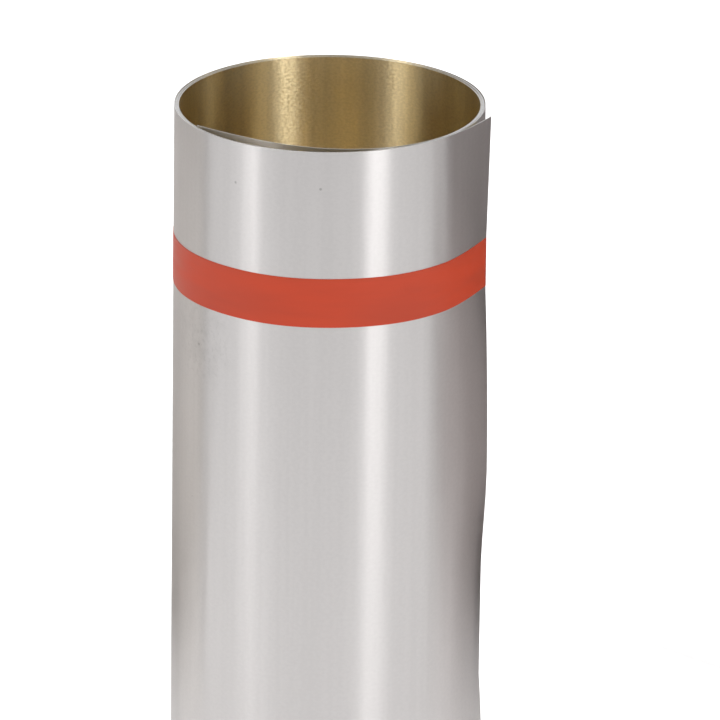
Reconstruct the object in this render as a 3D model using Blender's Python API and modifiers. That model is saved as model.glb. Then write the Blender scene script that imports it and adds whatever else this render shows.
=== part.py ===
# A roll of steel roof flashing, standing on its end and held shut by one band of tape.
# Metres, +Z up. The origin is on the roll's axis, in the plane of its lower end.
# The front of the roll is towards -Y. Angles run anticlockwise from +X, seen from above.

import math

import bpy

# The sheet, and how it is wound
SHEET_WIDTH = 0.3556  # the roll stands this high
SHEET_THICKNESS = 0.0004
AIR_GAP = 0.00003  # left between one turn and the next
BORE_RADIUS = 0.0749
WHOLE_TURNS = 6

# The fine groove that shows between two turns on both ends of the roll
GROOVE_DEPTH = 0.0008
GROOVE_HALF_WIDTH = 0.00008

# The inner end of the sheet. A springy sheet in a bore touches it with its tip, and stands
# off it up to the angle t where t + sin(t) * cos(t) = 2 * sin(t).
INNER_TIP_ANGLE = math.radians(209.3)
INNER_FREE_ANGLE = 2.1391
INNER_SPRING = 0.80  # 1 is a sheet that would lie flat if it were let go
INNER_TIP_CLEARANCE = 0.0003
INNER_ROOT_ANGLE = math.radians(24)  # over which the inner end sinks into the wound turns

# The outer end of the sheet. It leaves the roll tangentially and springs away from it.
OUTER_TIP_ANGLE = math.radians(346.5)
OUTER_FREE_ANGLE = math.radians(27.5)
OUTER_ROOT_ANGLE = math.radians(12)  # over which the outer end rises out of the wound turns
OUTER_ROOT_SINK = 0.00012
OUTER_TIP_CLEARANCE = 0.0003
# How far its tip stands off the turns, from the top down
STAND_OFF_TOP = 0.0047
STAND_OFF_TAPE = 0.0030
STAND_OFF_BULGE = 0.0050
STAND_OFF_PINCH = 0.0030
STAND_OFF_PINCH_END = 0.0025
STAND_OFF_FOOT = 0.0044
# Where, measured down from the tape's lower edge
BULGE_DROP = 0.094
PINCH_DROP = 0.136
PINCH_END_DROP = 0.204

# The band of tape
TAPE_DROP = 0.0655  # from the upper end of the roll down to the tape
TAPE_WIDTH = 0.0254
TAPE_THICKNESS = 0.00018
TAPE_CLEARANCE = 0.0002
TAPE_RISE = 0.0022  # the tape climbs where it crosses the sheet's tip
TAPE_RISE_REACH = math.radians(30)  # on either side of the tip

# Facets
ROUND_STEPS = 96
INNER_END_STEPS = 36
OUTER_END_STEPS = 12
LEVELS_BELOW_TAPE = 14
LEVELS_ABOVE_TAPE = 6

TURN_PITCH = SHEET_THICKNESS + AIR_GAP
OUTER_RADIUS = BORE_RADIUS + WHOLE_TURNS * TURN_PITCH
TAPE_TOP = SHEET_WIDTH - TAPE_DROP
TAPE_FOOT = TAPE_TOP - TAPE_WIDTH

STEEL_COLOUR = (0.60, 0.59, 0.58, 1)
TAPE_COLOUR = (0.58, 0.085, 0.045, 1)


def clear_scene():
    for old in list(bpy.data.objects):
        bpy.data.objects.remove(old)


def make_material(name, colour, metallic, roughness):
    material = bpy.data.materials.new(name)
    material.use_nodes = True
    shader = material.node_tree.nodes["Principled BSDF"]
    shader.inputs["Base Color"].default_value = colour
    shader.inputs["Metallic"].default_value = metallic
    shader.inputs["Roughness"].default_value = roughness
    return material


def make_collection(name):
    collection = bpy.data.collections.new(name)
    bpy.context.scene.collection.children.link(collection)
    return collection


def move_to(obj, collection):
    for old in list(obj.users_collection):
        old.objects.unlink(obj)
    collection.objects.link(obj)


def polar(radius, angle, height):
    return (radius * math.cos(angle), radius * math.sin(angle), height)


def ease(share):
    """0 to 1 with a level start and finish."""
    share = min(max(share, 0.0), 1.0)
    return share * share * (3 - 2 * share)


def even(share):
    """0 to 1 in a straight line."""
    return share


def settle(share):
    """0 to 1, steep at the start and level at the finish."""
    return 1 - (1 - share) ** 2


def turn_edges():
    """The radii where one wound turn meets the next, from the inside out."""
    return [BORE_RADIUS + turn * TURN_PITCH for turn in range(1, WHOLE_TURNS)]


def end_profile(height, into_roll):
    """The grooved end of the wound turns, from the bore outwards, as (radius, height) points."""
    points = [(BORE_RADIUS, height)]
    for edge in turn_edges():
        points.append((edge - GROOVE_HALF_WIDTH, height))
        points.append((edge, height + into_roll * GROOVE_DEPTH))
        points.append((edge + GROOVE_HALF_WIDTH, height))
    points.append((OUTER_RADIUS, height))
    return points


def wound_turns():
    """The whole turns of the sheet, wound tight: a grooved profile turned about the axis."""
    upper = end_profile(SHEET_WIDTH, -1)
    lower = end_profile(0.0, 1)
    profile = list(reversed(lower)) + upper  # inwards along the foot, outwards along the top
    mesh = bpy.data.meshes.new("coil")
    edges = [(i, (i + 1) % len(profile)) for i in range(len(profile))]
    mesh.from_pydata([(radius, 0, height) for radius, height in profile], edges, [])
    coil = bpy.data.objects.new("coil", mesh)
    bpy.context.scene.collection.objects.link(coil)
    turn = coil.modifiers.new("Turn", "SCREW")
    turn.axis = "Z"
    turn.angle = math.tau
    turn.steps = ROUND_STEPS
    turn.render_steps = ROUND_STEPS
    turn.use_merge_vertices = True
    turn.merge_threshold = 0.00001
    turn.use_smooth_shade = True
    return coil


def sheet_wall(name, place, steps, levels):
    """A wall of sheet: a grid whose points place(share along the sheet, share up) sets."""
    bpy.ops.mesh.primitive_grid_add(x_subdivisions=steps, y_subdivisions=levels, size=1)
    wall = bpy.context.object
    wall.name = name
    for vertex in wall.data.vertices:
        along = vertex.co.x + 0.5
        vertex.co = place(along, vertex.co.y + 0.5)
    shell = wall.modifiers.new("Thickness", "SOLIDIFY")
    shell.thickness = SHEET_THICKNESS
    shell.offset = 0
    shell.use_even_offset = True
    return wall


def stand_off(angle):
    """How far the inner end stands off the bore, as a share of the radius, this far from its tip."""
    free = INNER_FREE_ANGLE
    if angle >= free:
        return 0.0
    lean = (1 - math.cos(free) + free / (2 * math.tan(free))) / math.sin(free)
    bend = angle * math.cos(angle) / (2 * math.sin(free))
    return INNER_SPRING * (math.cos(angle) + lean * math.sin(angle) - 1 - bend)


def inner_end_point(along, up):
    angle = along * (INNER_FREE_ANGLE + INNER_ROOT_ANGLE)
    free_share = min(angle / INNER_FREE_ANGLE, 1.0)
    sunk_share = max(angle - INNER_FREE_ANGLE, 0.0) / INNER_ROOT_ANGLE
    radius = BORE_RADIUS * (1 - stand_off(angle)) - SHEET_THICKNESS / 2
    radius -= INNER_TIP_CLEARANCE * (1 - free_share)
    radius += SHEET_THICKNESS * sunk_share
    return polar(radius, INNER_TIP_ANGLE + angle, up * SHEET_WIDTH)


def tip_stand_off(height):
    """How far the tip of the outer end stands off the turns at this height."""
    bulge = TAPE_FOOT - BULGE_DROP
    pinch = TAPE_FOOT - PINCH_DROP
    pinch_end = TAPE_FOOT - PINCH_END_DROP
    stretches = (
        (SHEET_WIDTH, STAND_OFF_TOP, TAPE_TOP, STAND_OFF_TAPE, even),
        (TAPE_TOP, STAND_OFF_TAPE, TAPE_FOOT, STAND_OFF_TAPE, even),
        (TAPE_FOOT, STAND_OFF_TAPE, bulge, STAND_OFF_BULGE, settle),
        (bulge, STAND_OFF_BULGE, pinch, STAND_OFF_PINCH, ease),
        (pinch, STAND_OFF_PINCH, pinch_end, STAND_OFF_PINCH_END, even),
        (pinch_end, STAND_OFF_PINCH_END, 0.0, STAND_OFF_FOOT, settle),
    )
    for upper, upper_gap, lower, lower_gap, shape in stretches:
        if height >= lower - 1e-9:
            share = shape((upper - height) / (upper - lower))
            return upper_gap + (lower_gap - upper_gap) * share
    return STAND_OFF_FOOT


def outer_end_radius(angle, height):
    """The outer face of the outer end, this far from its root."""
    whole = OUTER_ROOT_ANGLE + OUTER_FREE_ANGLE
    climb = OUTER_ROOT_SINK + SHEET_THICKNESS + OUTER_TIP_CLEARANCE
    swung = max(angle - OUTER_ROOT_ANGLE, 0.0) / OUTER_FREE_ANGLE
    sprung = (tip_stand_off(height) - OUTER_TIP_CLEARANCE) * swung * swung
    return OUTER_RADIUS - OUTER_ROOT_SINK + climb * angle / whole + sprung


def outer_end_height(up):
    """Even levels below the tape, one pair along its edges, and even levels above it."""
    level = up * (LEVELS_BELOW_TAPE + 1 + LEVELS_ABOVE_TAPE)
    if level <= LEVELS_BELOW_TAPE:
        return TAPE_FOOT * level / LEVELS_BELOW_TAPE
    if level <= LEVELS_BELOW_TAPE + 1:
        return TAPE_FOOT + TAPE_WIDTH * (level - LEVELS_BELOW_TAPE)
    return TAPE_TOP + TAPE_DROP * (level - LEVELS_BELOW_TAPE - 1) / LEVELS_ABOVE_TAPE


def outer_end_point(along, up):
    whole = OUTER_ROOT_ANGLE + OUTER_FREE_ANGLE
    height = outer_end_height(up)
    radius = outer_end_radius(along * whole, height) - SHEET_THICKNESS / 2
    return polar(radius, OUTER_TIP_ANGLE - whole + along * whole, height)


def join(target, tools, collection):
    """Joins the tools to the target with Boolean unions, and keeps them out of the render."""
    for tool in tools:
        union = target.modifiers.new("Join " + tool.name, "BOOLEAN")
        union.operation = "UNION"
        union.solver = "EXACT"
        union.object = tool
        tool.hide_render = True
        tool.display_type = "WIRE"
        move_to(tool, collection)


def tape_radius(angle):
    """The inner face of the tape: on the turns, over the outer end, and straight off its tip."""
    clear = OUTER_RADIUS + TAPE_CLEARANCE
    whole = OUTER_ROOT_ANGLE + OUTER_FREE_ANGLE
    from_root = (angle - OUTER_TIP_ANGLE + whole) % math.tau
    past_tip = from_root - whole
    tip = outer_end_radius(whole, (TAPE_TOP + TAPE_FOOT) / 2) + TAPE_CLEARANCE
    bridge = math.acos(clear / tip)
    if from_root <= whole + 1e-6:
        over = outer_end_radius(from_root, (TAPE_TOP + TAPE_FOOT) / 2) + TAPE_CLEARANCE
        return max(clear, over)
    if past_tip < bridge:
        return clear / math.cos(bridge - past_tip)
    return clear


def tape_climb(angle):
    """How far the tape lies above its level, at this angle."""
    away = abs((angle - OUTER_TIP_ANGLE + math.pi) % math.tau - math.pi)
    return TAPE_RISE * (1 - ease(away / TAPE_RISE_REACH))


def tape_band():
    bpy.ops.mesh.primitive_cylinder_add(
        vertices=ROUND_STEPS, radius=1, depth=TAPE_WIDTH, end_fill_type="NOTHING"
    )
    band = bpy.context.object
    band.name = "tape_band"
    start = OUTER_TIP_ANGLE % (math.tau / ROUND_STEPS)  # so that one edge lies on the sheet's tip
    for vertex in band.data.vertices:
        angle = math.atan2(vertex.co.y, vertex.co.x) + start
        height = (TAPE_TOP + TAPE_FOOT) / 2 + vertex.co.z + tape_climb(angle)
        vertex.co = polar(tape_radius(angle) + TAPE_THICKNESS / 2, angle, height)
    shell = band.modifiers.new("Thickness", "SOLIDIFY")
    shell.thickness = TAPE_THICKNESS
    shell.offset = 0
    shell.use_even_offset = True
    band.data.shade_smooth()
    return band


def main():
    clear_scene()
    roll = make_collection("steel_flashing_roll")
    sheet_ends = make_collection("sheet_ends")

    coil = wound_turns()
    coil.data.materials.append(make_material("galvanized_steel", STEEL_COLOUR, 1.0, 0.32))
    move_to(coil, roll)
    inner_end = sheet_wall("inner_end", inner_end_point, INNER_END_STEPS, 1)
    levels = LEVELS_BELOW_TAPE + 1 + LEVELS_ABOVE_TAPE
    outer_end = sheet_wall("outer_end", outer_end_point, OUTER_END_STEPS, levels)
    join(coil, [inner_end, outer_end], sheet_ends)

    band = tape_band()
    band.data.materials.append(make_material("red_tape", TAPE_COLOUR, 0.0, 0.4))
    move_to(band, roll)


main()
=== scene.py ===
# A roll of steel flashing: one sheet wound up tight, held shut by one band of tape.
# Metres, +Z up, the roll's axis on Z and its front towards -Y.
import math

import bmesh
import bpy
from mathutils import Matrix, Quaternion, Vector


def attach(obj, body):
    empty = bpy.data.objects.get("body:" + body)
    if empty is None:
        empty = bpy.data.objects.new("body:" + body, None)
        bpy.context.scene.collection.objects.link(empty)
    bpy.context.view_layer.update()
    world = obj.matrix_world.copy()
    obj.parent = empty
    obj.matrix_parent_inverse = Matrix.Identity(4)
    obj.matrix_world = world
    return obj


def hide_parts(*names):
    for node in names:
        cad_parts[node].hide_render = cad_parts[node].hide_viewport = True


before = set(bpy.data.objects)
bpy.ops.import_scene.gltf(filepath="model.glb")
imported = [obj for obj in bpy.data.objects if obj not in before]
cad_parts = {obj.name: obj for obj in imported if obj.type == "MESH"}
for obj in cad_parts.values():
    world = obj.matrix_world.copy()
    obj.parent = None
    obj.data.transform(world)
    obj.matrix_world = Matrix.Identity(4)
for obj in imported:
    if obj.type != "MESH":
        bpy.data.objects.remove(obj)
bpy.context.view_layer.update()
print("packed model loaded")

hair = 1e-6                                 # less than this is rounding


def ease(share):
    share = min(max(share, 0.0), 1.0)
    return share * share * (3 - 2 * share)


def even(share):
    return share


def settle(share):
    return 1 - (1 - share) ** 2


def shade(colour, factor=1.0):
    return [value * factor for value in colour] + [1]


def addNode(tree, kind, settings=None, **sockets):
    node = tree.nodes.new(kind)
    for name, value in (settings or {}).items():
        setattr(node, name, value)
    for name, value in sockets.items():
        setSocket(tree, node, name, value)
    return node


def setSocket(tree, node, name, value):
    socket = node.inputs[name]
    if isinstance(value, bpy.types.NodeSocket):
        tree.links.new(value, socket)
    else:
        socket.default_value = value


def newGroup(name, inputs, outputs):
    group = bpy.data.node_groups.new(name, "ShaderNodeTree")
    for label, kind, value in inputs:
        socket = group.interface.new_socket(label, in_out="INPUT", socket_type=kind)
        if value is not None:
            socket.default_value = value
    for label, kind in outputs:
        group.interface.new_socket(label, in_out="OUTPUT", socket_type=kind)
    return group, group.nodes.new("NodeGroupInput"), group.nodes.new("NodeGroupOutput")


def placeGroup(tree, group, **values):
    return addNode(tree, "ShaderNodeGroup", {"node_tree": group}, **values)


def noise(tree, vector, scale=1.0, detail=2.0):
    return addNode(tree, "ShaderNodeTexNoise", Vector=vector, Scale=scale,
                   Detail=detail).outputs["Fac"]


def stretch(tree, vector, scale):
    return addNode(tree, "ShaderNodeMapping", Vector=vector, Scale=scale).outputs["Vector"]


def calc(tree, operation, *values):
    node = addNode(tree, "ShaderNodeMath", {"operation": operation})
    for index, value in enumerate(values):
        setSocket(tree, node, index, value)
    return node.outputs[0]


def remap(tree, value, start, end, smooth=True):
    # Start and end are pairs: from the low and high values in the one to those in the other.
    node = addNode(tree, "ShaderNodeMapRange",
                   {"interpolation_type": "SMOOTHSTEP" if smooth else "LINEAR"}, Value=value)
    for name, number in zip(("From Min", "From Max", "To Min", "To Max"), (*start, *end)):
        node.inputs[name].default_value = number
    return node.outputs["Result"]


def ramp(tree, value, span, smooth=True):
    return remap(tree, value, span, (0.0, 1.0), smooth)


def mixColour(tree, factor, first, second):
    node = addNode(tree, "ShaderNodeMix", {"data_type": "RGBA"})
    for index, value in ((0, factor), (6, first), (7, second)):
        setSocket(tree, node, index, value)
    return node.outputs[2]


def distance(tree, point, centre):
    node = addNode(tree, "ShaderNodeVectorMath", {"operation": "DISTANCE"})
    setSocket(tree, node, 0, point)
    setSocket(tree, node, 1, centre)
    return node.outputs["Value"]


def newMaterial(name):
    material = bpy.data.materials.new(name)
    material.use_nodes = True
    return material, material.node_tree, material.node_tree.nodes["Principled BSDF"]


def surfaceMap(tree):
    # The piece's own map, in metres: up the piece, then along it.
    return addNode(tree, "ShaderNodeUVMap", {"uv_map": "surface"}).outputs["UV"]


def addBump(tree, shader, height, relief):
    bump = addNode(tree, "ShaderNodeBump", Height=height, Strength=1.0, Distance=relief)
    tree.links.new(bump.outputs["Normal"], shader.inputs["Normal"])


effects = {
    "lines": (9000, 150, 1),                # so many to a metre up the piece and along it
    "bands": (5, 260, 1),
    "waves": (9, 110, 1),
    "pebbles": (650, 450, 1),
    "speckCells": 60.0,                     # cells to a metre, of which some hold a speck
    "speckRarity": 0.95,
    "speckSize": 0.012,                     # of a cell, and up to as much again
    "speckBlur": (-0.006, 0.006),
    "patchFade": (1.0, 0.2),                # from its rim to where it is full, of its radius
    "gritCells": 500.0,
    "gritSpan": (0.50, 0.72),
    "gritShare": 0.6,
    "blotCells": 110.0,
    "blotSpan": (0.42, 0.66),
    "blotShare": 0.4,
}


def buildRollingGrain():
    # Fine lines that the mill's rollers leave along the sheet, and faint bands across it.
    group, given, out = newGroup(
        "rollingGrain", [("Vector", "NodeSocketVector", None)],
        [("Bands", "NodeSocketFloat"), ("Height", "NodeSocketFloat")])
    vector = given.outputs["Vector"]
    lines = noise(group, stretch(group, vector, effects["lines"]), detail=1.0)
    bands = noise(group, stretch(group, vector, effects["bands"]), detail=3.0)
    group.links.new(bands, out.inputs["Bands"])
    group.links.new(lines, out.inputs["Height"])
    return group


def buildSheetWaves():
    # How far the sheet is from a true cylinder: soft upright waves, and a pebbled skin.
    group, given, out = newGroup(
        "sheetWaves",
        [("Vector", "NodeSocketVector", None), ("Waves", "NodeSocketFloat", 1.0),
         ("Pebbles", "NodeSocketFloat", 1.0), ("Fineness", "NodeSocketFloat", 1.0)],
        [("Skin", "NodeSocketFloat"), ("Height", "NodeSocketFloat")])
    vector = given.outputs["Vector"]
    waves = noise(group, stretch(group, vector, effects["waves"]))
    pebbles = noise(group, stretch(group, vector, effects["pebbles"]),
                    given.outputs["Fineness"], detail=1.0)
    total = calc(group, "ADD",
                 calc(group, "MULTIPLY", waves, given.outputs["Waves"]),
                 calc(group, "MULTIPLY", pebbles, given.outputs["Pebbles"]))
    group.links.new(pebbles, out.inputs["Skin"])
    group.links.new(total, out.inputs["Height"])
    return group


def buildHandlingMarks():
    # A dull patch of fine grit round one point of the piece, and a few dark specks all over.
    group, given, out = newGroup(
        "handlingMarks",
        [("Point", "NodeSocketVector", None), ("Patch Centre", "NodeSocketVector", None),
         ("Patch Radius", "NodeSocketFloat", 0.03)],
        [("Patch", "NodeSocketFloat"), ("Specks", "NodeSocketFloat")])
    point = given.outputs["Point"]
    cells = addNode(group, "ShaderNodeTexVoronoi", {"feature": "F1"},
                    Vector=point, Scale=effects["speckCells"])
    pick = addNode(group, "ShaderNodeSeparateColor", Color=cells.outputs["Color"])
    chosen = calc(group, "GREATER_THAN", pick.outputs[0], effects["speckRarity"])
    size = calc(group, "MULTIPLY_ADD", pick.outputs[1], effects["speckSize"],
                effects["speckSize"])
    inside = calc(group, "SUBTRACT", size, cells.outputs["Distance"])
    specks = calc(group, "MULTIPLY", chosen, ramp(group, inside, effects["speckBlur"]))
    away = calc(group, "DIVIDE", distance(group, point, given.outputs["Patch Centre"]),
                given.outputs["Patch Radius"])
    near = ramp(group, away, effects["patchFade"])
    grit = ramp(group, noise(group, point, effects["gritCells"], detail=3.0),
                effects["gritSpan"])
    blot = ramp(group, noise(group, point, effects["blotCells"]), effects["blotSpan"])
    soiled = calc(group, "MULTIPLY_ADD", grit, effects["gritShare"],
                  calc(group, "MULTIPLY", blot, effects["blotShare"]))
    group.links.new(calc(group, "MULTIPLY", near, soiled), out.inputs["Patch"])
    group.links.new(specks, out.inputs["Specks"])
    return group


sheet = {
    "width": 0.3556,                        # the roll stands this high
    "thickness": 0.00037,
    "pitch": 0.0004,                        # from one turn to the next
    "innerRadius": 0.07501,                 # to the middle of the sheet at its inner tip
    "innerTip": math.radians(209),
    "wound": math.radians(137.5) + 6 * math.tau,  # from the inner tip to the outer one
    "steps": 919,                           # 2.5 degrees each, so that the turns' facets agree
    "levels": (22, 2, 8),                   # below, across and above the tape
    "innerFree": 2.1391,                    # the inner end stands off the bore over this angle
    "innerSpring": 0.92,
    "innerRise": 0.0007,                    # and lies a little high
    "outerFree": math.radians(27.5),        # the outer end springs off over this angle
    "telescope": 0.0003,                    # how unevenly the turns' edges line up
    "sway": ((0.37, 0.6, 1.0), (0.83, 2.1, 0.6)),  # pace, start and weight of its two swings
    "edgeTilt": (0.0055, 0.0034),           # the upper edges rise to the right and to the back
    "tiltFrom": (-0.08, 0.0775),            # of this place
    "cone": 0.0005,                         # and the inner turns' lie a little deeper
    "looseGap": 0.00035,                    # the outermost turn stands off here, on the right
    "looseAt": math.radians(22),
    "looseReach": math.radians(46),
    "tipStandOffTop": 0.0047,               # how far the outer tip stands off at its top
    "tipStandOff": (  # and at lower heights, with the way that it gets there from above
        (0.2901, 0.0030, even),
        (0.2647, 0.0030, even),
        (0.1707, 0.0050, settle),
        (0.1147, 0.0026, ease),
        (0.0607, 0.0023, even),
        (0.0000, 0.0044, settle),
    ),
    "steel": {
        "colour": (0.674, 0.651, 0.644),
        "deep": 0.98,
        "pale": 1.02,
        "skinShare": 0.5,                   # of the mottle, and the bands make the rest
        "mottleSpan": (0.35, 0.65),
        "roughness": 0.28,
        "grain": 0.15,
        "waves": 0.6,
        "pebbles": 0.16,
        "fineness": 1.0,
        "relief": 0.00006,
        "patch": (-0.0633, -0.0447, 0.246),  # a finger's smudge
        "patchRadius": 0.034,
        "patchColour": (0.36, 0.35, 0.34),
        "patchStrength": 0.32,
        "specks": (
            (-0.0464, -0.0626, 0.3349),
            (-0.0642, -0.0441, 0.2437),
            (-0.0042, -0.0778, 0.3368),
        ),
        "speckFade": (0.0010, 0.0004),
        "speckColour": (0.30, 0.29, 0.28),
        "speckStrength": 0.6,
    },
    "lacquer": {
        "colour": (0.86, 0.715, 0.425),
        "deep": 0.92,
        "pale": 1.06,
        "skinShare": 0.6,
        "mottleSpan": (0.38, 0.62),
        "roughness": (0.285, 0.385),        # from the skin's low spots to its high ones
        "skinSpan": (0.35, 0.65),
        "grain": 0.04,
        "waves": 0.5,
        "pebbles": 0.20,
        "fineness": 1.4,
        "relief": 0.00006,
    },
    "edge": {
        "colour": (0.84, 0.83, 0.825),
        "deep": 0.85,
        "ticks": (200, 900, 1),             # left by the shears, to a metre
        "tickSpan": (0.35, 0.65),
        "roughness": (0.42, 0.30),
        "roughSpan": (0.3, 0.7),
        "relief": 0.00002,
    },
}


def standOff(turned):
    # The free inner end, as a share of the radius, this far from its tip.
    free = sheet["innerFree"]
    if turned >= free:
        return 0.0
    lean = (1 - math.cos(free) + free / (2 * math.tan(free))) / math.sin(free)
    bend = turned * math.cos(turned) / (2 * math.sin(free))
    return sheet["innerSpring"] * (math.cos(turned) + lean * math.sin(turned) - 1 - bend)


def outerStandOff(height):
    upper, upperGap = sheet["width"], sheet["tipStandOffTop"]
    for lower, lowerGap, way in sheet["tipStandOff"]:
        if height >= lower - hair:
            down = min(max((upper - height) / (upper - lower), 0.0), 1.0)
            return upperGap + (lowerGap - upperGap) * way(down)
        upper, upperGap = lower, lowerGap
    return upperGap


def looseness(beforeTip):
    # Where the outermost turn isn't quite tight, this far before the outer tip.
    centre = (sheet["innerTip"] + sheet["wound"] - sheet["looseAt"]) % math.tau
    away = abs(beforeTip - centre) / sheet["looseReach"]
    return sheet["looseGap"] * (1 - ease(away))


def sheetRadius(turned, height):
    # The middle of the sheet, this far round from its inner tip.
    radius = sheet["innerRadius"] + sheet["pitch"] * turned / math.tau
    radius -= sheet["innerRadius"] * standOff(turned)
    beforeTip = sheet["wound"] - turned
    radius += looseness(beforeTip)
    swung = max(sheet["outerFree"] - beforeTip, 0.0) / sheet["outerFree"]
    return radius + outerStandOff(height) * swung * swung


def sheetLift(turned):
    # The turns' edges don't line up exactly.
    swing = sum(weight * math.sin(turned * pace + start) for pace, start, weight in sheet["sway"])
    widest = sum(weight for pace, start, weight in sheet["sway"])
    return sheet["telescope"] * (swing / (2 * widest) + 0.5)


def levelHeight(up):
    # Even levels below, across and above the tape.
    edges = (0.0, tape["foot"], tape["top"], sheet["width"])
    level = up * sum(sheet["levels"])
    for index, count in enumerate(sheet["levels"]):
        if level <= count + hair:
            return edges[index] + (edges[index + 1] - edges[index]) * level / count
        level -= count
    return sheet["width"]


def stripMesh(name, steps, levels, place):
    # A grid whose points place(share along, share up) puts round the axis, with its map.
    mesh = bpy.data.meshes.new(name)
    strip = bmesh.new()
    bmesh.ops.create_grid(strip, x_segments=steps, y_segments=levels, size=0.5)
    surface = strip.loops.layers.uv.new("surface")
    placed = {}
    for vertex in strip.verts:
        placed[vertex] = place(vertex.co.x + 0.5, vertex.co.y + 0.5)
    for face in strip.faces:
        face.smooth = True
        for loop in face.loops:
            loop[surface].uv = placed[loop.vert][1]
    for vertex, placing in placed.items():
        vertex.co = placing[0]
    strip.to_mesh(mesh)
    strip.free()
    return mesh


def thicken(piece, thickness, inner=0, rim=0, crisp=math.radians(50)):
    # Gives the strip its wall, and keeps the cut edges crisp.
    wall = piece.modifiers.new("Wall", "SOLIDIFY")
    wall.thickness = thickness
    wall.offset = 0
    wall.material_offset = inner
    wall.material_offset_rim = rim
    graph = bpy.context.evaluated_depsgraph_get()
    solid = bpy.data.meshes.new_from_object(piece.evaluated_get(graph))
    solid.name = piece.name
    piece.modifiers.clear()
    piece.data = solid
    solid.set_sharp_from_angle(angle=crisp)


def addPiece(name, mesh, materials):
    piece = bpy.data.objects.new(name, mesh)
    bpy.context.scene.collection.objects.link(piece)
    for material in materials:
        mesh.materials.append(material)
    return piece


def sheetPoint(along, up):
    turned = along * sheet["wound"]
    height = levelHeight(up)
    radius = sheetRadius(turned, height)
    angle = sheet["innerTip"] + turned
    length = sheet["innerRadius"] * turned + sheet["pitch"] * turned ** 2 / (2 * math.tau)
    across = radius * math.cos(angle)
    deep = radius * math.sin(angle)
    toRight, toBack = sheet["edgeTilt"]
    left, back = sheet["tiltFrom"]
    upper = toRight * (across - left) + toBack * (deep - back)
    upper -= sheet["cone"] * (1 - turned / sheet["wound"])
    upper += sheet["innerRise"] * (1 - ease(turned / sheet["innerFree"]))
    lift = sheetLift(turned) + upper * height / sheet["width"]
    return (across, deep, height + lift), (height, length)


def finishMetal(tree, shader, face):
    # The surface's tangent runs up the sheet, across the rollers' lines.
    vector = surfaceMap(tree)
    lines = placeGroup(tree, rollingGrain, Vector=vector)
    skin = placeGroup(tree, sheetWaves, Vector=vector, Waves=face["waves"],
                      Pebbles=face["pebbles"], Fineness=face["fineness"])
    height = calc(tree, "ADD", skin.outputs["Height"],
                  calc(tree, "MULTIPLY", lines.outputs["Height"], face["grain"]))
    addBump(tree, shader, height, face["relief"])
    tangent = addNode(tree, "ShaderNodeTangent", {"direction_type": "UV_MAP", "uv_map": "surface"})
    tree.links.new(tangent.outputs["Tangent"], shader.inputs["Tangent"])
    shader.inputs["Metallic"].default_value = 1.0
    shader.inputs["Anisotropic"].default_value = 1.0
    bands = calc(tree, "MULTIPLY", lines.outputs["Bands"], 1 - face["skinShare"])
    mottle = calc(tree, "MULTIPLY_ADD", skin.outputs["Skin"], face["skinShare"], bands)
    return skin.outputs["Skin"], mottle


def buildSteelFace():
    material, tree, shader = newMaterial("bare steel face")
    face = sheet["steel"]
    mottle = finishMetal(tree, shader, face)[1]
    colour = mixColour(tree, ramp(tree, mottle, face["mottleSpan"]),
                       shade(face["colour"], face["deep"]), shade(face["colour"], face["pale"]))
    here = tree.nodes.new("ShaderNodeTexCoord").outputs["Object"]
    marks = placeGroup(tree, handlingMarks, **{
        "Point": here, "Patch Centre": face["patch"], "Patch Radius": face["patchRadius"]})
    soiled = calc(tree, "MULTIPLY", marks.outputs["Patch"], face["patchStrength"])
    colour = mixColour(tree, soiled, colour, shade(face["patchColour"]))
    dots = marks.outputs["Specks"]
    for place in face["specks"]:
        dot = ramp(tree, distance(tree, here, place), face["speckFade"])
        dots = calc(tree, "MAXIMUM", dots, dot)
    colour = mixColour(tree, calc(tree, "MULTIPLY", dots, face["speckStrength"]), colour,
                       shade(face["speckColour"]))
    tree.links.new(colour, shader.inputs["Base Color"])
    shader.inputs["Roughness"].default_value = face["roughness"]
    return material


def buildLacquerFace():
    material, tree, shader = newMaterial("gold lacquered face")
    face = sheet["lacquer"]
    skin, mottle = finishMetal(tree, shader, face)
    colour = mixColour(tree, ramp(tree, mottle, face["mottleSpan"], smooth=False),
                       shade(face["colour"], face["deep"]), shade(face["colour"], face["pale"]))
    tree.links.new(colour, shader.inputs["Base Color"])
    tree.links.new(remap(tree, skin, face["skinSpan"], face["roughness"]),
                   shader.inputs["Roughness"])
    return material


def buildCutEdge():
    material, tree, shader = newMaterial("sheared steel edge")
    edge = sheet["edge"]
    ticks = noise(tree, stretch(tree, surfaceMap(tree), edge["ticks"]))
    addBump(tree, shader, ticks, edge["relief"])
    colour = mixColour(tree, ramp(tree, ticks, edge["tickSpan"]),
                       shade(edge["colour"], edge["deep"]), shade(edge["colour"]))
    tree.links.new(colour, shader.inputs["Base Color"])
    tree.links.new(remap(tree, ticks, edge["roughSpan"], edge["roughness"]),
                   shader.inputs["Roughness"])
    shader.inputs["Metallic"].default_value = 1.0
    return material


def buildSheet():
    mesh = stripMesh("wound_sheet", sheet["steps"], sum(sheet["levels"]), sheetPoint)
    piece = addPiece("wound_sheet", mesh, [buildSteelFace(), buildLacquerFace(), buildCutEdge()])
    thicken(piece, sheet["thickness"], inner=1, rim=2)
    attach(piece, "root")
    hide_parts("coil")
    return piece


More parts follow.
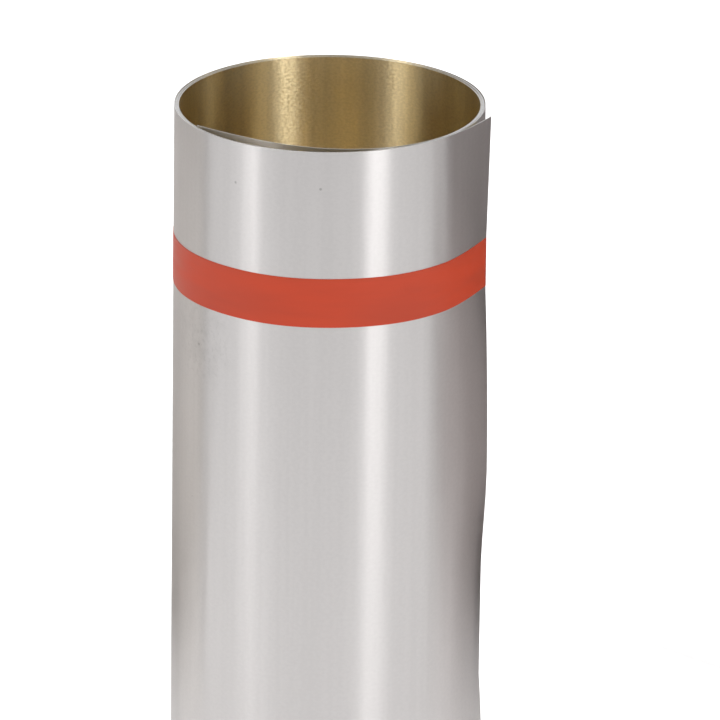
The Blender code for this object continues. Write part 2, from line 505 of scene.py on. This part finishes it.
tape = {
    "top": 0.2901,
    "foot": 0.2647,
    "thickness": 0.00016,
    "clearance": 0.00002,
    "start": math.radians(74),              # at the back
    "overlap": math.radians(22),
    "lapRamp": math.radians(1.6),           # over which it climbs onto its own start
    "lapClimb": 1.08,                       # in thicknesses
    "lapShift": 0.0006,                     # and a little out of line
    "landing": math.radians(16),            # past the sheet's tip it is down on the next turn
    "stepAngle": math.radians(1.25),
    "levels": 10,
    "mapRadius": 0.078,
    "edgeSway": ((0.00012, 3.1, 0.0), (0.00008, 7.3, 1.0)),  # size, pace and start
    "tilt": 0.0055,                         # it isn't wrapped quite level
    "rise": 0.0022,                         # it climbs where it crosses the sheet's outer tip
    "riseReach": math.radians(30),
    "film": {
        "colour": (0.56, 0.046, 0.007),
        "deep": 0.93,
        "pale": 1.05,
        "streaks": (90, 14, 1),             # to a metre
        "tooth": (1500, 1500, 1),
        "toothShare": 0.15,
        "streakSpan": (0.3, 0.7),
        "roughness": (0.36, 0.46),
        "relief": 0.00005,
    },
}


def tapeFloor(angle):
    # How far from the axis the surface is that the tape lies on.
    height = (tape["top"] + tape["foot"]) / 2
    half = sheet["thickness"] / 2 + tape["clearance"]
    turnBefore = sheet["wound"] - math.tau
    tip = sheetRadius(sheet["wound"], height) + half
    past = (angle - sheet["innerTip"] - sheet["wound"]) % math.tau  # beyond the outer tip
    low = sheetRadius(turnBefore + tape["landing"], height) + half
    bridge = math.acos(low / tip)
    if past < bridge:
        return low / math.cos(bridge - past)  # straight off the tip, down to the turn below
    return sheetRadius(turnBefore + past, height) + half


def tapePoint(along, up):
    turned = along * (math.tau + tape["overlap"])
    angle = tape["start"] + turned
    lap = ease((turned - math.tau + tape["lapRamp"]) / tape["lapRamp"])
    radius = tapeFloor(angle) + tape["thickness"] * (0.5 + tape["lapClimb"] * lap)
    across = radius * math.cos(angle)
    height = tape["foot"] + (tape["top"] - tape["foot"]) * up
    height += sum(size * math.sin(turned * pace + start) for size, pace, start in tape["edgeSway"])
    height += tape["lapShift"] * lap
    fromTip = abs((angle - sheet["innerTip"] - sheet["wound"] + math.pi) % math.tau - math.pi)
    height += tape["tilt"] * across + tape["rise"] * (1 - ease(fromTip / tape["riseReach"]))
    return (across, radius * math.sin(angle), height), (height, tape["mapRadius"] * turned)


def buildTapeFilm():
    material, tree, shader = newMaterial("red tape")
    film = tape["film"]
    vector = surfaceMap(tree)
    streaks = noise(tree, stretch(tree, vector, film["streaks"]), detail=3.0)
    tooth = noise(tree, stretch(tree, vector, film["tooth"]))
    colour = mixColour(tree, ramp(tree, streaks, film["streakSpan"]),
                       shade(film["colour"], film["deep"]), shade(film["colour"], film["pale"]))
    tree.links.new(colour, shader.inputs["Base Color"])
    tree.links.new(remap(tree, streaks, film["streakSpan"], film["roughness"]),
                   shader.inputs["Roughness"])
    height = calc(tree, "MULTIPLY_ADD", tooth, film["toothShare"], streaks)
    addBump(tree, shader, height, film["relief"])
    return material


def buildTape():
    steps = round((math.tau + tape["overlap"]) / tape["stepAngle"])
    mesh = stripMesh("tape_wrap", steps, tape["levels"], tapePoint)
    piece = addPiece("tape_wrap", mesh, [buildTapeFilm()])
    thicken(piece, tape["thickness"])
    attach(piece, "root")
    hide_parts("tape_band")
    return piece


studio = {
    "floorSize": 30.0,
    "floorColour": (0.90, 0.90, 0.90, 1),
    "floorGlow": (0.18, 0.44),              # for every ray, and more for the camera's
    "dull": 0.9,                            # the roughness of floor and cards
    "sky": 0.14,
    "overhead": (4.4, 3.4, 0.6, 1.4),       # size, height, how far back, brightness
    "panels": (  # name, azimuth from the front, distance, width, foot, head, brightness
        ("stripRightHead", 40.6, 1.3, 0.34, 1.3, 2.6, 14.6),
        ("stripRight", 35.3, 1.3, 0.30, 0.75, 1.3, 1.0),
        ("stripRightFoot", 35.0, 1.3, 0.36, 0.10, 0.75, 0.95),
        ("stripLeftHead", -63.5, 1.3, 0.26, 1.3, 2.6, 12.9),
        ("stripLeft", -57.5, 1.3, 0.30, 0.75, 1.3, 1.3),
        ("stripLeftFoot", -58.0, 1.3, 0.32, 0.10, 0.75, 1.0),
        ("frontFill", 0.0, 2.4, 5.0, 0.0, 0.60, 0.58),
        ("fillRight", 62.0, 2.4, 1.6, 0.0, 0.9, 0.50),
        ("fillRightHead", 54.0, 2.4, 0.6, 0.9, 1.8, 0.3),
        ("fillLeft", -81.0, 2.4, 1.2, 0.0, 0.9, 0.52),
        ("fillLeftHead", -71.0, 2.4, 0.4, 0.9, 1.8, 1.2),
        ("bandRightHead", 112.0, 2.4, 0.35, 0.9, 1.8, 1.9),
        ("backdrop", 180.0, 3.2, 1.8, 0.2, 2.2, 0.7),
    ),
    "cards": (  # azimuth of its plane, shift along it, width, foot, head, colour
        (136.0, -0.13, 0.30, 0.19, 0.45, (0.33, 0.305, 0.30)),
        (136.0, 0.07, 0.10, 0.19, 0.335, (0.33, 0.305, 0.30)),
        (136.0, -0.34, 0.08, 0.07, 0.19, (0.86, 0.83, 0.82)),
        (136.0, -0.25, 0.10, 0.07, 0.19, (0.76, 0.71, 0.70)),
        (136.0, -0.15, 0.10, 0.07, 0.19, (0.54, 0.49, 0.48)),
        (136.0, -0.38, 0.16, 0.0, 0.07, (0.74, 0.72, 0.71)),
        (136.0, -0.25, 0.10, 0.0, 0.07, (0.58, 0.54, 0.53)),
        (136.0, -0.15, 0.10, 0.0, 0.07, (0.42, 0.38, 0.37)),
        (136.0, -0.035, 0.13, 0.0, 0.19, (0.14, 0.125, 0.12)),
        (-136.0, 0.05, 0.34, 0.13, 0.34, (0.88, 0.86, 0.83)),
        (-136.0, 0.05, 0.34, 0.06, 0.13, (0.86, 0.83, 0.79)),
        (-136.0, 0.07, 0.38, 0.0, 0.06, (0.74, 0.715, 0.685)),
    ),
    "cardDistance": 0.25,
}


def turnedPlace(azimuth, away, height):
    angle = math.radians(azimuth)
    return Vector((away * math.sin(angle), -away * math.cos(angle), height))


def flatMesh(name, width, height):
    mesh = bpy.data.meshes.new(name)
    plane = bmesh.new()
    bmesh.ops.create_grid(plane, x_segments=1, y_segments=1, size=0.5)
    bmesh.ops.scale(plane, vec=(width, height, 1), verts=plane.verts)
    plane.to_mesh(mesh)
    plane.free()
    return mesh


def buildFloor():
    material, tree, shader = newMaterial("pale floor")
    shader.inputs["Base Color"].default_value = studio["floorColour"]
    shader.inputs["Roughness"].default_value = studio["dull"]
    # It glows to plain white for the camera, and lights the roll only a little.
    rays = tree.nodes.new("ShaderNodeLightPath")
    always, more = studio["floorGlow"]
    glow = calc(tree, "MULTIPLY_ADD", rays.outputs["Is Camera Ray"], more, always)
    tree.links.new(glow, shader.inputs["Emission Strength"])
    shader.inputs["Emission Color"].default_value = (1, 1, 1, 1)
    addPiece("floor", flatMesh("floor", studio["floorSize"], studio["floorSize"]),
                      [material])


def addLamp(name, width, height, brightness, place, turn):
    lamp = bpy.data.lights.new(name, "AREA")
    lamp.shape = "RECTANGLE"
    lamp.size = width
    lamp.size_y = height
    lamp.energy = brightness * math.pi * width * height  # so that its face is this bright
    light = bpy.data.objects.new(name, lamp)
    bpy.context.scene.collection.objects.link(light)
    light.location = place
    light.rotation_euler = turn
    light.visible_camera = False


def buildLights():
    world = bpy.data.worlds.new("studio")
    bpy.context.scene.world = world
    world.use_nodes = True
    background = world.node_tree.nodes["Background"]
    background.inputs["Color"].default_value = (1, 1, 1, 1)
    background.inputs["Strength"].default_value = studio["sky"]
    for name, azimuth, away, width, foot, head, brightness in studio["panels"]:
        addLamp(name, width, head - foot, brightness,
                turnedPlace(azimuth, away, (foot + head) / 2),
                (math.pi / 2, 0, math.radians(azimuth)))
    size, height, back, brightness = studio["overhead"]
    addLamp("overhead", size, size, brightness, Vector((0, back, height)), (0, 0, 0))


def buildCards():
    # Plain cards behind the roll, out of the camera's sight, that its two sides mirror.
    for number, card in enumerate(studio["cards"]):
        azimuth, shift, width, foot, head, colour = card
        name = "card%d" % number
        material, tree, shader = newMaterial(name)
        shader.inputs["Base Color"].default_value = shade(colour)
        shader.inputs["Roughness"].default_value = studio["dull"]
        board = addPiece(name, flatMesh(name, width, head - foot), [material])
        turn = math.radians(azimuth)
        along = Vector((math.cos(turn), math.sin(turn), 0))
        middle = turnedPlace(azimuth, studio["cardDistance"], (foot + head) / 2)
        board.location = middle + along * shift
        board.rotation_euler = (math.pi / 2, 0, turn)
        board.visible_camera = False


view = {
    "span": 0.07748,                        # the roll's radius, which the fit is measured in
    "distance": 80.0,                       # the rest are in radii
    "aimAcross": 0.2108,
    "aimBelow": 1.742,
    "tilt": math.radians(18.21),
    "roll": math.radians(0.62),
    "lens": 622.55,                         # in mm, as the sensor is
    "sensor": 36,
    "farthest": 100,
}


def buildCamera():
    span = view["span"]
    away = view["distance"] * span
    tilt = view["tilt"]
    place = Vector((0, -away * math.cos(tilt), sheet["width"] + away * math.sin(tilt)))
    aim = Vector((view["aimAcross"] * span, 0, sheet["width"] - view["aimBelow"] * span))
    eye = bpy.data.cameras.new("camera")
    eye.lens = view["lens"]
    eye.sensor_width = view["sensor"]
    eye.clip_end = view["farthest"]
    camera = bpy.data.objects.new("camera", eye)
    bpy.context.scene.collection.objects.link(camera)
    camera.rotation_mode = "QUATERNION"
    facing = (aim - place).to_track_quat("-Z", "Y")
    camera.rotation_quaternion = facing @ Quaternion((0, 0, 1), view["roll"])
    camera.location = place
    bpy.context.scene.camera = camera


rollingGrain = buildRollingGrain()
sheetWaves = buildSheetWaves()
handlingMarks = buildHandlingMarks()
print("shared effects built")

woundSheet = buildSheet()
print("sheet wound:", len(woundSheet.data.polygons), "faces")

tapeWrap = buildTape()
print("tape wrapped:", len(tapeWrap.data.polygons), "faces")

buildFloor()
buildLights()
buildCards()
buildCamera()
bpy.context.scene.view_settings.view_transform = "Standard"
print("studio ready")
